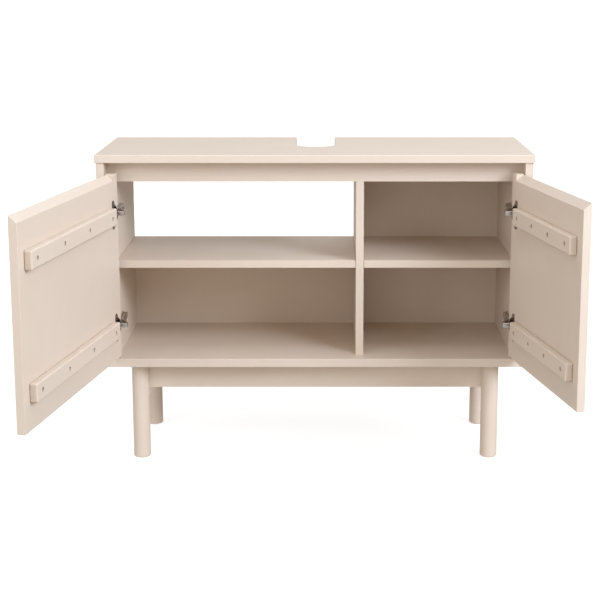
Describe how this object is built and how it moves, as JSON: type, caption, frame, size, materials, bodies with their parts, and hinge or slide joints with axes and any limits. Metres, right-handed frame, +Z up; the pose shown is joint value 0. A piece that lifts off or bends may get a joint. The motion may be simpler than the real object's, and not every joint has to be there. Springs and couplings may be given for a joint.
{
  "type": "sink base cabinet",
  "caption": "Low sink base cabinet on round legs, with a siphon notch in its top, a divided interior with shelves, and inset doors on concealed hinges.",
  "frame": {"origin": "on the floor, in the middle between the four feet", "axes": "+X to the right as one faces the doors, +Y from the doors to the wall, +Z up"},
  "size_m": [1.0146, 0.7608, 0.66],
  "materials": {
    "lacquered_board": "satin lacquer, warm greige",
    "lacquered_frame": "satin lacquer, warm greige",
    "lacquered_back": "satin lacquer on thin board",
    "beech_dowels": "plain beech",
    "nickel_steel": "satin nickel plate",
    "zinc_screws": "zinc plate",
    "felt_grey_plastic": "matte"
  },
  "bodies": {
    "cabinet": {"apron_dowels": "beech_dowels", "apron_front": "lacquered_frame", "apron_left": "lacquered_frame", "apron_rear": "lacquered_frame", "apron_right": "lacquered_frame", "arm_screws_left": "zinc_screws", "arm_screws_right": "zinc_screws", "back_panel_left": "lacquered_back", "back_panel_right": "lacquered_back", "back_panel_screws": "zinc_screws", "bottom_panel": "lacquered_board", "cross_dowels": "beech_dowels", "divider": "lacquered_board", "foot_glides": "felt_grey_plastic", "front_rail": "lacquered_board", "hinge_arms_left": "nickel_steel", "hinge_arms_right": "nickel_steel", "hinge_plates_left": "nickel_steel", "hinge_plates_right": "nickel_steel", "leg_bolts": "zinc_screws", "leg_front_left": "lacquered_frame", "leg_front_right": "lacquered_frame", "leg_rear_left": "lacquered_frame", "leg_rear_right": "lacquered_frame", "panel_dowels": "beech_dowels", "plate_screws_left": "zinc_screws", "plate_screws_right": "zinc_screws", "shelf_left": "lacquered_board", "shelf_pins_left": "nickel_steel", "shelf_pins_right": "nickel_steel", "shelf_right": "lacquered_board", "side_liner_left": "lacquered_board", "side_liner_right": "lacquered_board", "side_panel_left": "lacquered_board", "side_panel_right": "lacquered_board", "top_panel": "lacquered_board"},
    "door_left": {"batten_lower_left": "lacquered_board", "batten_screws_left": "zinc_screws", "batten_upper_left": "lacquered_board", "cup_screws_left": "zinc_screws", "door_left": "lacquered_board", "hinge_cups_left": "nickel_steel", "hinge_pins_left": "nickel_steel"},
    "door_right": {"batten_lower_right": "lacquered_board", "batten_screws_right": "zinc_screws", "batten_upper_right": "lacquered_board", "cup_screws_right": "zinc_screws", "door_right": "lacquered_board", "hinge_cups_right": "nickel_steel", "hinge_pins_right": "nickel_steel"}
  },
  "joints": [
    {"name": "left_door_hinge", "type": "hinge", "parent": "cabinet", "child": "door_left", "pos_m": [-0.418, -0.14, 0.4185], "axis": [0, 0, 1], "range_deg": [-6, 101]},
    {"name": "right_door_hinge", "type": "hinge", "parent": "cabinet", "child": "door_right", "pos_m": [0.418, -0.14, 0.4185], "axis": [0, 0, -1], "range_deg": [-5, 102]}
  ]
}
